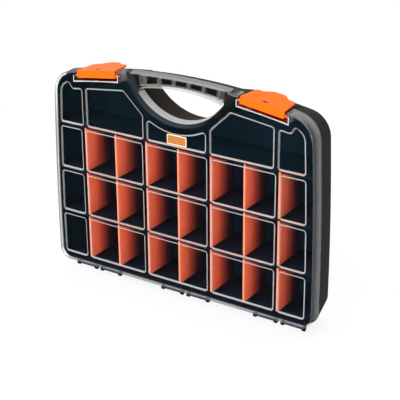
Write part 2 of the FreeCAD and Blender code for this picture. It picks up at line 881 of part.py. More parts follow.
def hollow_tray(body):
    """Rows of hollows, with the row walls left between them and a thick wall below."""
    ledge = s.bottom_wall - s.tray_wall
    tapers = tray_tapers()
    tapers["bottom"] = tapers["bottom"] + ledge
    for row in range(ROWS + 1):
        last = row == ROWS
        ceiling = None if row == 0 else row_heights[row - 1] - s.row_wall / 2
        floor = None if last else row_heights[row] + s.row_wall / 2
        rim_handle = s.hole_radius + s.tray_wall if row == 0 else None
        floor_handle = rim_handle + s.hole_flare if row == 0 else None
        top = front_sketch(body, f"row_{row}_rim", parting)
        draw_case(top, case_outline(s.tray_wall, bottom=ledge), floor, ceiling, rim_handle)
        bed = front_sketch(body, f"row_{row}_floor", floor_depth)
        draw_case(bed, case_outline(s.tray_wall, **tapers), floor, ceiling, floor_handle)
        loft(body, "SubtractiveLoft", f"row_{row}", [top, bed])


def cut_tray_grip(body):
    """Back half of the handle: flared opening, hollow bar and a scoop at the back."""
    channel = front_sketch(body, "tray_channel", parting)
    draw_channel(channel, s.grip_half_length)
    extrude(body, "Pocket", channel, s.tray_channel_depth)
    scoop = front_sketch(body, "tray_scoop", s.case_depth)
    circle_in(scoop, (0, s.handle_centre), s.hole_radius + s.hole_flare + s.scoop_ledge)
    slope = -arc_tangent(s.hole_flare / tray_length)
    extrude(body, "Pocket", scoop, s.case_depth - s.grip_back_depth, backwards=False, slope=slope)
    front_lens = front_sketch(body, "tray_hole_front", parting)
    draw_lens(front_lens, s.hole_radius)
    lens_depth = s.grip_back_depth + s.overrun
    back_lens = front_sketch(body, "tray_hole_back", lens_depth)
    draw_lens(back_lens, s.hole_radius + s.hole_flare * (lens_depth - parting) / tray_length)
    loft(body, "SubtractiveLoft", "tray_hole", [front_lens, back_lens])


def add_row_walls(body):
    """Stretch of the row walls that stands up into the lid."""
    for row in range(ROWS):
        height = row_heights[row]
        reach = side_place(height, s.lid_wall + s.wall_end_gap)
        sketch = front_sketch(body, f"row_wall_{row}", parting)
        draw_rectangle(sketch, -reach, reach, height - s.row_wall / 2, height + s.row_wall / 2)
        extrude(body, "Pad", sketch, parting - wall_front, backwards=False)


def add_collar_root(body):
    """Band inside the tray's rim that carries the collar."""
    sketch = front_sketch(body, "collar_root", parting)
    draw_ring(sketch, case_outline(s.tray_wall / 2), case_outline(collar_inset + s.collar_thickness))
    extrude(body, "Pad", sketch, s.collar_root)


def add_collar(body):
    """Lip that stands up into the lid round the bottom, the sides and the top corners."""
    reach = parting - wall_front
    sketch = front_sketch(body, "collar", parting)
    draw_ring(sketch, case_outline(collar_inset), case_outline(collar_inset + s.collar_thickness))
    extrude(body, "Pad", sketch, reach, backwards=False)
    half = s.case_width / 2
    sketch = front_sketch(body, "collar_end", parting)
    draw_rectangle(sketch, -half, half, s.collar_height, s.case_height)
    extrude(body, "Pocket", sketch, reach, backwards=False)


def cut_grooves(body):
    """Upright grooves in the row walls for the dividers."""
    sketch = front_sketch(body, "groove", wall_front)
    half = s.divider_thickness / 2 + s.divider_clearance
    place = -s.slot_pitch * (SLOTS - 1) / 2
    extra = s.groove_depth - s.row_wall / 2
    draw_rectangle(sketch, place - half, place + half, row_heights[1] - extra, row_heights[0] + extra)
    groove = extrude(body, "Pocket", sketch, floor_depth - wall_front)
    patterns = [(s.slot_pitch, SLOTS), (s.row_pitch, ROWS, "Z_Axis", True)]
    repeat_both(body, "grooves", [groove], patterns)


def add_latch_seats(body):
    """Seats under the latches, each with a ridge that the latch's hook snaps behind."""
    slope = s.top_taper / tray_length
    low = -(s.seat_drop + s.seat_floor)
    back_top = -s.seat_top - (s.seat_length - parting) * slope
    section = latch_section(body, "seat_block")
    profile = Profile(section)
    corners = [(parting, low), (s.seat_length, low), (s.seat_length, back_top), (parting, -s.seat_top)]
    a, b, c, d = [(across.value, up.value) for across, up in corners]
    profile.flat(a, b, low)
    profile.upright(b, c, s.seat_length)
    profile.through(c, d, (profile.mark(*corners[2]), profile.mark(*corners[3])))
    profile.upright(d, a, parting)
    profile.close()
    block = extrude(body, "Pad", section, (notch_half + s.tray_wall) * 2, both=True)
    section = latch_section(body, "seat")
    draw_rectangle(section, parting - s.overrun, s.case_depth, -s.seat_drop, s.overrun)
    seat = extrude(body, "Pocket", section, notch_half * 2, both=True)
    section = latch_section(body, "catch")
    catch_back = s.hook_depth - s.catch_gap
    draw_rectangle(section, s.catch_depth, catch_back, -(s.seat_drop + s.overrun), -s.catch_drop)
    catch = extrude(body, "Pad", section, s.hook_width, both=True)
    mirror(body, "seats", [block, seat, catch])


def add_hinge_ears(body):
    """Ears under the tray with the bars that carry the lid's clips."""
    ear_step = s.hinge_length - s.ear_thickness
    sketch = new_sketch(body, "ear_outline", "YZ_Plane", (0, 0, first_hinge - ear_step / 2))
    front = hinge_line + s.parting_gap * 2
    back = hinge_line + s.ear_radius * ROOT_SHARE
    draw_hinge_part(sketch, s.ear_radius, front, back, s.case_bottom + s.tray_wall / 2)
    ear = extrude(body, "Pad", sketch, s.ear_thickness, both=True)
    repeat_both(body, "ears", [ear], [(ear_step, 2)] + hinge_patterns())
    sketch = new_sketch(body, "bar_outline", "YZ_Plane", (0, 0, first_hinge))
    circle_in(sketch, (hinge_line, s.hinge_height), s.bar_radius)
    bar = extrude(body, "Pad", sketch, ear_step, both=True)
    repeat_both(body, "bars", [bar], hinge_patterns())


def add_feet(body):
    """Two feet at the back, level with the hinge ears, so that the case stands upright."""
    sketch = front_sketch(body, "foot", s.foot_depth)
    half = s.foot_width / 2
    top = s.case_bottom + s.bottom_taper + s.tray_wall / 4
    draw_rectangle(sketch, -(s.foot_place + half), half - s.foot_place, 0, top)
    mirror(body, "feet", [extrude(body, "Pad", sketch, s.foot_length)])


def build_tray():
    """Dark tray with four rows, grooves, latch seats, hinge ears and feet."""
    body = new_body("base_tray")
    shape_tray(body)
    add_hinge_ears(body)
    add_feet(body)
    cut_tray_grip(body)
    hollow_tray(body)
    add_collar_root(body)
    add_latch_seats(body)
    add_collar(body)
    add_row_walls(body)
    cut_grooves(body)
    return body


def shape_latch_plate(body):
    """Latch's top plate with a finger lip at the back, and its front plate."""
    half = s.latch_width / 2
    lip_back = s.latch_reach + s.lip_reach
    right = [
        (half, s.latch_front_gap, s.latch_front_corner),
        (half - s.latch_taper, s.latch_reach, s.latch_corner),
        (s.lip_width / 2, s.latch_reach, s.lip_round),
        (s.lip_tip_width / 2, lip_back, s.lip_round),
    ]
    left = [(-across, depth, radius) for across, depth, radius in reversed(right)]
    sketch = new_sketch(body, "plate_outline", "XY_Plane", (0, 0, s.latch_rise))
    draw_polygon(sketch, right + left)
    extrude(body, "Pad", sketch, s.latch_thickness)
    section = new_sketch(body, "front_plate", "YZ_Plane")
    front = s.latch_front_gap
    back = front + s.latch_thickness
    draw_rectangle(section, front, back, -s.latch_front_drop, s.latch_rise - s.overrun)
    extrude(body, "Pad", section, s.latch_width, both=True)


def build_latch(name, side):
    """Flap latch: plate, hook that snaps behind the tray's ridge, pivot barrel and pins."""
    body = new_body(name)
    shape_latch_plate(body)
    section = new_sketch(body, "hook", "YZ_Plane")
    hook_back = s.hook_depth + s.hook_thickness
    draw_rectangle(section, s.hook_depth, hook_back, -s.hook_drop, s.latch_rise - s.overrun)
    extrude(body, "Pad", section, s.hook_width, both=True)
    pivot = (s.pivot_depth, -s.pivot_drop)
    for part_name, radius, length in (
        ("barrel", s.barrel_radius, s.latch_width),
        ("pins", s.pin_radius, (notch_half + s.pin_reach) * 2),
    ):
        section = new_sketch(body, part_name, "YZ_Plane")
        circle_in(section, pivot, radius)
        extrude(body, "Pad", section, length, both=True)
    sketch = new_sketch(body, "slot", "XY_Plane", (0, 0, s.latch_rise + s.overrun))
    half, thin = s.slot_length / 2, s.slot_width / 2
    near, far = s.slot_depth - thin, s.slot_depth + thin
    places = [(-half, near), (half, near), (half, far), (-half, far)]
    draw_polygon(sketch, [(across, depth, s.slot_round) for across, depth in places])
    extrude(body, "Pocket", sketch, s.latch_thickness + s.overrun * 2)
    body.Placement = Placement(Vector(), Rotation(Vector(0, 1, 0), latch_tilt.value * side))
    bind(body, "Placement.Rotation.Angle", latch_tilt * side)
    bind(body, "Placement.Base.x", s.latch_place * side)
    bind(body, "Placement.Base.y", -s.case_depth / 2)
    bind(body, "Placement.Base.z", latch_height)
    return body


def build_divider(row, slot):
    """Loose divider plate that slides into a pair of grooves."""
    body = new_body(f"divider_{row + 1}_{slot + 1}")
    front = wall_front - s.case_depth / 2
    back = floor_depth - s.divider_clearance - s.case_depth / 2
    half = s.row_pitch / 2 - s.row_wall / 2 + s.groove_depth - s.divider_clearance
    outline = new_sketch(body, "outline", "YZ_Plane")
    draw_polygon(outline, [
        (front, -half, s.divider_front_round),
        (back, -half, s.divider_back_round),
        (back, half, s.divider_back_round),
        (front, half, s.divider_front_round),
    ])
    extrude(body, "Pad", outline, s.divider_thickness, both=True)
    bind(body, "Placement.Base.x", s.slot_pitch * (slot - (SLOTS - 1) / 2))
    bind(body, "Placement.Base.z", row_heights[row] - s.row_pitch / 2)
    return body


pieces = [build_tray(), build_lid(), build_latch("latch_left", -1), build_latch("latch_right", 1)]
pieces += [build_divider(row, slot) for row in range(ROWS) for slot in range(SLOTS)]
doc.recompute()

for thing in doc.Objects:
    if {"Invalid", "Error"} & set(thing.State):
        raise RuntimeError(f"{thing.Name} failed: {thing.State}")
os.makedirs("parts", exist_ok=True)
for piece in pieces:
    if piece.Shape.isNull() or not piece.Shape.isValid() or len(piece.Shape.Solids) != 1:
        raise RuntimeError(f"{piece.Label} has no valid single solid")
    piece.Shape.exportStep(f"parts/{piece.Label}.step")
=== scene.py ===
import logging
import math
from dataclasses import dataclass, field
from enum import Enum
from functools import cached_property, reduce

import bpy
from mathutils import Euler, Matrix, Vector


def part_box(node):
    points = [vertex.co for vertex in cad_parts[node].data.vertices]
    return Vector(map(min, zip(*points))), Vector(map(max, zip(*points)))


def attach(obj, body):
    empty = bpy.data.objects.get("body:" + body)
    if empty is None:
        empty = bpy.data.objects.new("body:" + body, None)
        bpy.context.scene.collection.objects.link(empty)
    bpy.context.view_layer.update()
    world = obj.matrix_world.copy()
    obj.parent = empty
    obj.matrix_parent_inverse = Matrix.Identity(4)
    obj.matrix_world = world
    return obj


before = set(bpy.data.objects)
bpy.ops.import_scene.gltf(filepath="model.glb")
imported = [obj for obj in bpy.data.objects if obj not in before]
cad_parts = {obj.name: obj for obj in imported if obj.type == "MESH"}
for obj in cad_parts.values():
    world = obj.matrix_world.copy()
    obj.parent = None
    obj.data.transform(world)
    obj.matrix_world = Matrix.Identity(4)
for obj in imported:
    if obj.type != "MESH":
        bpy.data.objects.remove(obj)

logging.basicConfig(level=logging.INFO, format="%(message)s")
log = logging.getLogger("organizer")

Socket = bpy.types.NodeSocket
Colour = tuple[float, float, float, float]
Point = tuple[float, float, float]
Pair = tuple[float, float]
# Both ends of a value's range, and the results at these ends.
Fade = tuple[float, float, float, float]
# A node's inputs, by name or number, or in order.
Inputs = dict[str | int, Socket | Colour | float] | tuple[Socket | Colour | float, ...]

MM = 0.001
LID_LOW, LID_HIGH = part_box("lid")
DIVIDER_LOW, DIVIDER_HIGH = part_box("divider_1_1")
# Distance of each latch's middle from the middle of the case.
LATCH_PLACE = 0.118
# Height of the axis of the cone-shaped scoop round the grip's opening.
HOLE_HEIGHT = 0.31
# Noise goes from 0 to 1, and most of it lies in this range.
NOISE_RANGE = (0.3, 0.7)
# Results at the ends of a range that fades out.
FALLING = (1.0, 0.0)
# Half the width of the soft edge round a painted spot.
SOFT_EDGE = 0.1 * MM
# Numbers of the share and the two colours among the inputs of a colour mix.
SHARE, FIRST, SECOND = 0, 6, 7
# Straight, mirrored and passed-through rays, which show the background.
SHOWN_RAYS = ("Is Camera Ray", "Is Glossy Ray", "Is Transmission Ray")
# Points closer than this are one point, edges sharper than the first angle are rounded,
# and faces that meet at less than the second angle are shaded as one.
WELD_GAP = 0.001 * MM
ROUND_STEPS = 2
SHARP_ANGLE = math.radians(40)
SMOOTH_ANGLE = math.radians(35)


class Body(Enum):
    """Moving bodies of the case."""

    LID = "lid"
    LATCH_LEFT = "latch_left"
    LATCH_RIGHT = "latch_right"


class Slot(Enum):
    """Material slots of the record."""

    TRAY = "tray"
    LID = "lid"
    LATCH = "latch"
    DIVIDER = "divider"


class Kind(Enum):
    """Kinds of node that the materials and the surroundings are wired from."""

    BACKGROUND = "ShaderNodeBackground"
    BUMP = "ShaderNodeBump"
    COORDINATES = "ShaderNodeTexCoord"
    DIFFUSE = "ShaderNodeBsdfDiffuse"
    GLOW = "ShaderNodeEmission"
    LIGHT_PATH = "ShaderNodeLightPath"
    MATERIAL_OUTPUT = "ShaderNodeOutputMaterial"
    MATHS = "ShaderNodeMath"
    MIX = "ShaderNodeMix"
    MIX_SHADER = "ShaderNodeMixShader"
    NOISE = "ShaderNodeTexNoise"
    PLASTIC = "ShaderNodeBsdfPrincipled"
    RAMP = "ShaderNodeValToRGB"
    RANGE = "ShaderNodeMapRange"
    SPLIT = "ShaderNodeSeparateXYZ"
    VECTOR_MATHS = "ShaderNodeVectorMath"
    WORLD_OUTPUT = "ShaderNodeOutputWorld"


def linear(hex_colour: str) -> Colour:
    """Turn an sRGB screen colour into the linear values that shaders use.

    Args:
        hex_colour: Colour such as "#ff7a1a".

    Returns:
        Linear red, green, blue and full opacity.
    """
    parts = [int(hex_colour[i : i + 2], 16) / 255 for i in (1, 3, 5)]
    values = [c / 12.92 if c <= 0.04045 else ((c + 0.055) / 1.055) ** 2.4 for c in parts]
    return (*values, 1.0)


def edge_at(limit: float) -> Pair:
    """Range of the soft edge at a limit."""
    return limit - SOFT_EDGE, limit + SOFT_EDGE


class Wiring:
    """Node tree of a material or of the surroundings, wired up node by node."""

    def __init__(self, owner: bpy.types.Material | bpy.types.World) -> None:
        """Start with an empty tree.

        Args:
            owner: Material or world that the tree belongs to.
        """
        owner.use_nodes = True
        self.owner = owner
        self.tree = owner.node_tree
        self.tree.nodes.clear()

    def add(self, kind: Kind, inputs: Inputs = (), **settings: str) -> Socket | None:
        """Add a node, set it, and fill or link its inputs.

        Args:
            kind: Kind of node.
            inputs: Values or other nodes' outputs, in order, or by name or number.
            settings: Settings of the node itself.

        Returns:
            The first of its outputs that is in use, or None where it has no outputs.
        """
        node = self.tree.nodes.new(kind.value)
        for name, setting in settings.items():
            setattr(node, name, setting)
        pairs = inputs.items() if isinstance(inputs, dict) else enumerate(inputs)
        for key, value in pairs:
            if isinstance(value, Socket):
                self.tree.links.new(value, node.inputs[key])
            else:
                node.inputs[key].default_value = value
        return next((output for output in node.outputs if output.enabled), None)

    def all_of(self, *shares: Socket | float) -> Socket:
        """Multiply shares, so that each of them can take a spot away."""
        return reduce(
            lambda so_far, share: self.add(Kind.MATHS, (so_far, share), operation="MULTIPLY"), shares
        )

    def any_of(self, *shares: Socket | float) -> Socket:
        """Take the largest share, so that each of them can bring a spot in."""
        return reduce(
            lambda so_far, share: self.add(Kind.MATHS, (so_far, share), operation="MAXIMUM"), shares
        )

    def shown(self) -> Socket:
        """Tell rays that show the background, which give 1, from those that only bring light."""
        rays = self.add(Kind.LIGHT_PATH).node.outputs
        return self.any_of(*(rays[name] for name in SHOWN_RAYS))


class Surface(Wiring):
    """Material that is wired by the place of each spot and the way it faces."""

    def __init__(self, name: str) -> None:
        """Start with an empty material.

        Args:
            name: Name of the material.
        """
        super().__init__(bpy.data.materials.new(name))
        coordinates = self.add(Kind.COORDINATES).node.outputs
        self.place = coordinates["Object"]
        self.x, self.y, self.z = self.add(Kind.SPLIT, (self.place,)).node.outputs
        self.nx, self.ny, self.nz = self.add(Kind.SPLIT, (coordinates["Normal"],)).node.outputs

    @cached_property
    def facing(self) -> Socket:
        """How far a spot is turned to the front or the back."""
        return self.add(Kind.MATHS, (self.ny,), operation="ABSOLUTE")

    @cached_property
    def aside(self) -> Socket:
        """Distance of a spot from the middle of the case."""
        return self.add(Kind.MATHS, (self.x,), operation="ABSOLUTE")

    def apart(self, value: Socket, place: float) -> Socket:
        """Measure how far a value lies from a place, on either side of it."""
        offset = self.add(Kind.MATHS, (value, place), operation="SUBTRACT")
        return self.add(Kind.MATHS, (offset,), operation="ABSOLUTE")

    def from_axis(self, height: float) -> Socket:
        """Measure how far a spot lies from an axis that runs from front to back.

        Args:
            height: Height of the axis, in the middle of the case.

        Returns:
            Distance in metres.
        """
        above = self.add(Kind.MATHS, (self.z, height), operation="SUBTRACT")
        squares = (self.all_of(self.x, self.x), self.all_of(above, above))
        return self.add(Kind.MATHS, (self.add(Kind.MATHS, squares, operation="ADD"),), operation="SQRT")

    def within(self, value: Socket, low: float, high: float) -> Socket:
        """Pick the spots whose value lies in a band.

        Args:
            value: Value to look at.
            low: Lower end of the band.
            high: Upper end of the band.

        Returns:
            1 in the band, 0 outside it.
        """
        over = self.add(Kind.RANGE, (value, *edge_at(low)))
        under = self.add(Kind.RANGE, (value, *edge_at(high), *FALLING))
        return self.all_of(over, under)

    def pattern(self, size: float, layers: float) -> Inputs:
        """Size a noise by the width of its clouds in millimetres and its number of finer layers."""
        return {"Vector": self.place, "Scale": 1 / (size * MM), "Detail": layers}

    def close(self, inputs: Inputs) -> bpy.types.Material:
        """Close the material with its shader.

        Args:
            inputs: Inputs of the shader.

        Returns:
            The finished material.
        """
        self.add(Kind.MATERIAL_OUTPUT, {"Surface": self.add(Kind.PLASTIC, inputs)})
        return self.owner


@dataclass(frozen=True)
class GrainedFinish:
    """Opaque finish with a mottled colour, uneven gloss and a fine grain."""

    # The grain of a spark-eroded mould or a coating is about 0.1 mm wide, too fine to show here,
    # so it is drawn several times coarser. Grain and mottle are widths in millimetres.
    name: str
    colour: str
    shade: str
    roughness: float
    grain: float
    depth: float
    specular: float = 0.4
    refraction: float = 1.49
    grain_layers: float = 4.0
    grain_strength: float = 0.35
    gloss_swing: Pair = (-0.06, 0.08)
    mottle: float = 36.0
    mottle_layers: float = 3.0

    def tone(self, surface: Surface) -> Socket:
        """Mottle the colour.

        Args:
            surface: Material being wired.

        Returns:
            The colour.
        """
        mottle = surface.add(Kind.NOISE, surface.pattern(self.mottle, self.mottle_layers))
        colours = {SHARE: mottle, FIRST: linear(self.colour), SECOND: linear(self.shade)}
        return surface.add(Kind.MIX, colours, data_type="RGBA")

    def material(self) -> bpy.types.Material:
        """Build the material.

        Returns:
            Material with a mottled colour, uneven gloss and a grain bump.
        """
        surface = Surface(self.name)
        grain = surface.add(Kind.NOISE, surface.pattern(self.grain, self.grain_layers))
        least, most = (self.roughness + swing for swing in self.gloss_swing)
        bump = {"Height": grain, "Strength": self.grain_strength, "Distance": self.depth}
        inputs = {
            "Base Color": self.tone(surface),
            "Roughness": surface.add(Kind.RANGE, (grain, *NOISE_RANGE, least, most)),
            "Normal": surface.add(Kind.BUMP, bump),
            "IOR": self.refraction,
            "Specular IOR Level": self.specular,
        }
        return surface.close(inputs)


@dataclass(frozen=True)
class TrayPlastic(GrainedFinish):
    """Plastic of the tray: navy compartments, brownish black outside."""

    # Painted reflection of the orange dividers on the compartments' floors.
    floor: str = "#141926"
    outside: str = "#1c1811"
    # Floors lie flat in the lower part of the case and get a painted reflection of the orange dividers,
    # lighter and more purple than the walls. The outside faces away from the case's middle
    # or to the back, or lies in the grip's opening, which grows towards the back.
    lying: Pair = (0.6, 0.9)
    floor_end: Fade = (0.19, 0.2, 1.0, 0.0)
    middle: float = 0.15
    outer_reach: Pair = (0.095, 0.105)
    backward: Pair = (0.4, 0.6)
    hole_front: float = 0.0756
    hole_growth: float = 0.217
    hole_edge: Fade = (0.0, 0.001, 1.0, 0.0)

    def tone(self, surface: Surface) -> Socket:
        """Colour the compartments' floors, with a painted reflection of the orange dividers, and the
        outside.

        Args:
            surface: Material being wired.

        Returns:
            The colour.
        """
        # Floors that get the painted reflection of the orange dividers.
        floors = surface.all_of(
            surface.add(Kind.RANGE, (surface.nz, *self.lying)),
            surface.add(Kind.RANGE, (surface.z, *self.floor_end)),
        )
        colours = {SHARE: floors, FIRST: super().tone(surface), SECOND: linear(self.floor)}
        inside = surface.add(Kind.MIX, colours, data_type="RGBA")
        above = surface.add(Kind.MATHS, (surface.z, self.middle), operation="SUBTRACT")
        directions = (surface.all_of(surface.x, surface.nx), surface.all_of(above, surface.nz))
        away = surface.add(Kind.MATHS, directions, operation="ADD")
        cone = (surface.y, self.hole_growth, self.hole_front)
        hole = surface.add(Kind.MATHS, cone, operation="MULTIPLY_ADD")
        beyond = surface.add(Kind.MATHS, (surface.from_axis(HOLE_HEIGHT), hole), operation="SUBTRACT")
        outer = surface.any_of(
            surface.add(Kind.RANGE, (away, *self.outer_reach)),
            surface.add(Kind.RANGE, (surface.ny, *self.backward)),
            surface.add(Kind.RANGE, (beyond, *self.hole_edge)),
        )
        colours = {SHARE: outer, FIRST: inside, SECOND: linear(self.outside)}
        return surface.add(Kind.MIX, colours, data_type="RGBA")


@dataclass(frozen=True)
class DividerPlastic(GrainedFinish):
    """Plastic of the dividers, with painted light along the front edges and painted shade that sinks it into
    the dark towards the back of the case.
    """

    front: float = DIVIDER_LOW.y
    back: float = DIVIDER_HIGH.y
    wander: Pair = (-0.02, 0.02)
    # Painted light at the front edge, fading into painted shade towards the back.
    light_and_shade_stops: tuple[tuple[float, str], ...] = (
        (0.035, "#ff8460"),
        (0.28, "#fb6a48"),
        (0.48, "#b84838"),
        (0.7, "#4a2228"),
    )
    # Where the painted shade at the back reaches its darkest.
    painted_shade_start: float = 0.88

    def tone(self, surface: Surface) -> Socket:
        """Paint the colour from painted light at the front edge to painted shade at the back.

        Args:
            surface: Material being wired.

        Returns:
            The colour.
        """
        depth = surface.add(Kind.RANGE, (surface.y, self.front, self.back))
        clouds = surface.add(Kind.NOISE, surface.pattern(self.mottle, self.mottle_layers))
        wander = surface.add(Kind.RANGE, (clouds, *NOISE_RANGE, *self.wander))
        inward = surface.add(Kind.MATHS, (depth, wander), operation="ADD")
        colour = surface.add(Kind.RAMP, (inward,))
        light_and_shade_stops = ((0.0, self.colour), *self.light_and_shade_stops, (self.painted_shade_start, self.shade))
        elements = colour.node.color_ramp.elements
        while len(elements) < len(light_and_shade_stops):
            elements.new(1.0)
        for element, (place, shade) in zip(elements, light_and_shade_stops):
            element.position = place
            element.color = linear(shade)
        return colour


@dataclass(frozen=True)
class LatchPlastic(GrainedFinish):
    """Plastic of the latches, with painted shade inside their slots."""

    slot_depth: float = -0.0235
    slot_half: Pair = (0.0029, 0.0016)
    slot_edge: float = 0.0002
    # Painted shade on the walls of the slots, where little light reaches.
    slot_painted_shade: str = "#4a1602"

    def tone(self, surface: Surface) -> Socket:
        """Paint shade on the walls of the slots.

        Args:
            surface: Material being wired.

        Returns:
            The colour.
        """
        offsets = (surface.apart(surface.aside, LATCH_PLACE), surface.apart(surface.y, self.slot_depth))
        sides = [
            surface.add(Kind.RANGE, (offset, half, half + self.slot_edge, *FALLING))
            for offset, half in zip(offsets, self.slot_half)
        ]
        colours = {
            SHARE: surface.all_of(*sides),
            FIRST: super().tone(surface),
            SECOND: linear(self.slot_painted_shade),
        }
        return surface.add(Kind.MIX, colours, data_type="RGBA")


@dataclass(frozen=True)
class ClearPlastic:
    """Clear polystyrene: see-through on its flat faces, milky on slopes, rims and walls."""

    name: str
    colour: str
    roughness: float
    # Opacity of each kind of spot.
    face_alpha: float
    slope_alpha: float
    # Opacity of the slopes that face right, dimmed as painted shade.
    shaded_slope_alpha: float
    front_alpha: float
    rear_alpha: float
    top_alpha: float
    clip_alpha: float
    # Opacity of the painted highlights round the notches.
    notch_highlight_alpha: float
    hole_alpha: float
    rim_alpha: float
    # Colours of the rounded edge, of the painted refraction of the orange dividers on the slopes near them
    # and of the painted shadow of the latches on the notches' floors.
    rim_colour: str
    orange_refraction: str
    shade: str
    # Gloss, with ripples and smears that are widths in millimetres.
    refraction: float = 1.59
    specular: float = 0.15
    ripple: float = 6.0
    ripple_layers: float = 2.0
    ripple_strength: float = 0.12
    ripple_depth: float = 0.2 * MM
    smear: float = 22.0
    smear_layers: float = 3.0
    gloss_shares: Pair = (0.6, 1.5)
    # The lid's front, its arched top and the border inside its rounded edge.
    front: float = LID_LOW.y
    arch_radius: float = 0.85
    arch_centre: float = LID_HIGH.z - arch_radius
    arch_border: float = 0.0145
    side_edge: float = 0.1815
    bottom_edge: float = 0.0215
    border_blend: float = 0.002
    # The rounded edge, whose left side follows the bulge of the lid. Where it faces right it gets little of
    # its grey, as painted shade.
    rim_facing: Fade = (0.9, 0.97, 1.0, 0.0)
    rim_right_shade: Fade = (0.1, 0.5, 1.0, 0.1)
    rim_start: float = 0.1854
    rim_blend: float = 0.001
    widest: float = 0.06
    bulge: float = 0.147
    low_rim: Fade = (0.0162, 0.0167, 1.0, 0.0)
    sill: Pair = (0.0137, 0.0142)
    rim_depths: Pair = (0.003, 0.0035)
    # The notches under the latches, whose floors get a painted shadow of the latches, and the lines round
    # them, which get painted highlights.
    notch_half: float = 0.0334
    notch_depth: float = 0.0126
    floor_reach: Pair = (-0.0006, 0.0016)
    floor_lying: Pair = (0.4, 0.6)
    behind_front: Pair = (0.0005, 0.0007)
    line: float = 0.0011
    line_overlap: float = 0.0005
    line_rise: float = 0.008
    # The slopes round the cells, with painted shade on those that face right, and those of them that get a
    # painted refraction of the orange behind them.
    slope_start: Fade = (0.62, 0.8, 0.0, 1.0)
    slope_end: Fade = (0.93, 0.985, 1.0, 0.0)
    slope_right: Pair = (0.2, 0.4)
    refraction_lying: Pair = (0.15, 0.3)
    refraction_heights: Pair = (0.05, 0.215)
    refraction_places: Pair = (-0.146, -0.142)
    # The walls that run from front to back, with painted shade that makes them dimmer below, on top and on
    # the right.
    wall_facing: Fade = (0.5, 0.75, 1.0, 0.0)
    wall_depths: Pair = (0.00346, 0.0173)
    below: Fade = (-0.6, -0.4, 0.3, 1.0)
    upper: Fade = (0.5, 0.95, 1.0, 0.5)
    right: Fade = (0.3, 0.9, 1.0, 0.5)
    top_lying: Pair = (0.35, 0.9)
    # The grip's opening, the scoop round it, and the clips below the lid's edge.
    hole_edge: float = 0.074
    hole_blend: float = 0.0002
    hole_lying: Pair = (0.2, 0.8)
    grip: Fade = (0.275, 0.28, 1.0, 0.4)
    scoop_width: float = 0.009
    scoop_share: float = 0.28
    clip_heights: Pair = (0.011, 0.0115)

    def material(self) -> bpy.types.Material:
        """Build the material.

        Returns:
            Material whose opacity follows the way each face is turned on the lid.
        """
        surface = Surface(self.name)
        ripple = surface.add(Kind.NOISE, surface.pattern(self.ripple, self.ripple_layers))
        bump = {"Height": ripple, "Strength": self.ripple_strength, "Distance": self.ripple_depth}
        smear = surface.add(Kind.NOISE, surface.pattern(self.smear, self.smear_layers))
        least, most = (self.roughness * share for share in self.gloss_shares)
        inner = self._inner(surface)
        rim = self._rim(surface, inner)
        # Painted shadow on the notches' floors and painted highlights along the lines round them.
        shade, line = self._notch(surface)
        tone = linear(self.colour)
        paints = ((rim, self.rim_colour), (self._painted_refraction(surface), self.orange_refraction), (shade, self.shade))
        for share, paint in paints:
            colours = {SHARE: share, FIRST: tone, SECOND: linear(paint)}
            tone = surface.add(Kind.MIX, colours, data_type="RGBA")
        milky = surface.any_of(
            self._walls(surface),
            self._slopes(surface, inner),
            surface.all_of(line, self.notch_highlight_alpha),
            surface.all_of(rim, self.rim_alpha),
            self.face_alpha,
            shade,
        )
        clips = surface.add(Kind.RANGE, (surface.z, *self.clip_heights, self.clip_alpha, 1.0))
        inputs = {
            "Base Color": tone,
            "Alpha": surface.all_of(milky, clips),
            "Roughness": surface.add(Kind.RANGE, (smear, *NOISE_RANGE, least, most)),
            "Normal": surface.add(Kind.BUMP, bump),
            "IOR": self.refraction,
            "Specular IOR Level": self.specular,
        }
        return surface.close(inputs)

    def _inner(self, surface: Surface) -> Socket:
        """Find the part of the lid inside its rounded edge.

        Args:
            surface: Material being wired.

        Returns:
            1 inside the edge, 0 on it.
        """
        blend = self.border_blend
        arch_edge = self.arch_radius - self.arch_border
        radius = surface.from_axis(self.arch_centre)
        return surface.all_of(
            surface.add(Kind.RANGE, (surface.aside, self.side_edge, self.side_edge + blend, *FALLING)),
            surface.add(Kind.RANGE, (radius, arch_edge, arch_edge + blend, *FALLING)),
            surface.add(Kind.RANGE, (surface.z, self.bottom_edge - blend, self.bottom_edge)),
        )

    def _rim(self, surface: Surface, inner: Socket) -> Socket:
        """Find the rounded edge that runs round the lid's front.

        Args:
            surface: Material being wired.
            inner: Share of the part inside the edge.

        Returns:
            1 on the edge, 0 elsewhere.
        """
        turning = surface.all_of(
            surface.add(Kind.RANGE, (surface.facing, *self.rim_facing)),
            # Painted shade: parts of the edge that face right get little of the grey.
            surface.add(Kind.RANGE, (surface.nx, *self.rim_right_shade)),
        )
        rise = surface.add(Kind.MATHS, (surface.z, self.widest), operation="SUBTRACT")
        bulge = surface.all_of(rise, rise, self.bulge)
        left = surface.add(Kind.MATHS, (bulge, surface.x), operation="SUBTRACT")
        border = surface.add(Kind.RANGE, (left, self.rim_start, self.rim_start + self.rim_blend))
        low = surface.add(Kind.RANGE, (surface.z, *self.low_rim))
        depths = (self.front + depth for depth in self.rim_depths)
        return surface.all_of(
            surface.any_of(turning, border, low),
            surface.add(Kind.RANGE, (surface.y, *depths, *FALLING)),
            surface.add(Kind.RANGE, (surface.z, *self.sill)),
            surface.add(Kind.MATHS, (1.0, inner), operation="SUBTRACT"),
        )

